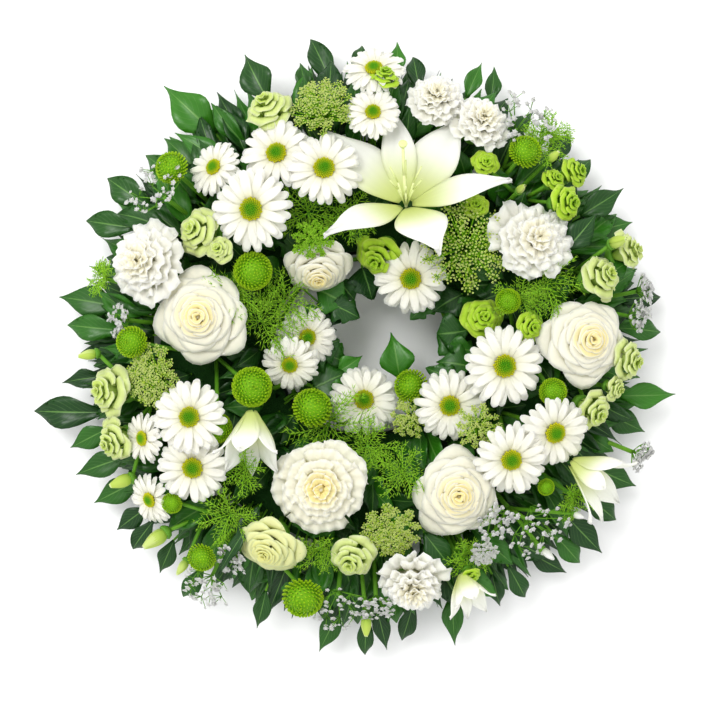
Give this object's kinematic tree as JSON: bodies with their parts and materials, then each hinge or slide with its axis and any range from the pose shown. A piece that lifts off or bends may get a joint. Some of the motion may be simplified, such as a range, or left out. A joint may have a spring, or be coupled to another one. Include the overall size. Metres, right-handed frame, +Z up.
{
  "type": "funeral wreath",
  "caption": "Round wreath of white, cream and green flowers with a collar of leaves, set in a foam ring on a tray, with an open middle.",
  "frame": {"origin": "on the surface the tray rests on, below the middle of the wreath's outline", "axes": "+Z up out of the flowers, +Y towards the open lily at the wreath's head, +X to its right"},
  "size_m": [0.5328, 0.5114, 0.1768],
  "materials": {
    "white_petals": "soft matt petals",
    "cream_petals": "soft matt petals",
    "yellow_green_petals": "soft matt petals",
    "lime_petals": "soft matt petals",
    "pale_green_petals": "soft matt petals",
    "green_button_florets": "soft matt florets",
    "umbel_florets": "soft matt florets",
    "fern_threads": "satin leaf",
    "gypsophila_florets": "soft matt florets",
    "leaf": "satin leaf",
    "floral_foam": "matt, porous and wet",
    "tray": "moulded"
  },
  "bodies": {
    "root": {"lily_open": "white_petals", "rose_left": "cream_petals", "rose_right": "cream_petals", "rose_bottom": "cream_petals", "rose_upper": "cream_petals", "rose_yellow": "yellow_green_petals", "lisianthus_white": "white_petals", "carnation_left": "white_petals", "carnation_right": "white_petals", "carnations_top": "white_petals", "carnation_bottom": "white_petals", "lily_left": "white_petals", "lily_right": "white_petals", "lily_bottom": "white_petals", "green_top": "lime_petals", "daisies_upper_left": "white_petals", "daisies_right": "white_petals", "daisies_left": "white_petals", "daisies_inner": "white_petals", "daisy_upper": "white_petals", "daisies_top": "white_petals", "button_upper_left": "green_button_florets", "buttons_left": "green_button_florets", "buttons_inner": "green_button_florets", "buttons_lower": "green_button_florets", "button_upper_right": "green_button_florets", "green_inner": "lime_petals", "greens_upper_left": "pale_green_petals", "greens_left": "pale_green_petals", "green_top_left": "pale_green_petals", "greens_right": "pale_green_petals", "greens_bottom": "pale_green_petals", "greens_lower_right": "pale_green_petals", "greens_inner_right": "lime_petals", "greens_upper_right": "lime_petals", "buds_lower_left": "pale_green_petals", "umbel_right": "umbel_florets", "umbel_top": "umbel_florets", "umbel_left": "umbel_florets", "umbel_bottom": "umbel_florets", "umbels_inner": "umbel_florets", "fern_upper": "fern_threads", "fern_left": "fern_threads", "fern_inner": "fern_threads", "fern_right": "fern_threads", "gypsophila_upper_left": "gypsophila_florets", "gypsophila_upper_right": "gypsophila_florets", "gypsophila_lower_right": "gypsophila_florets", "gypsophila_lower_left": "gypsophila_florets", "gypsophila_bottom": "gypsophila_florets", "leaves_top": "leaf", "leaves_upper_left": "leaf", "leaves_left": "leaf", "leaves_bottom": "leaf", "leaves_lower_right": "leaf", "leaves_right": "leaf", "leaves_inner_left": "leaf", "leaves_inner_right": "leaf", "foam_ring": "floral_foam", "base_tray": "tray"}
  },
  "joints": []
}
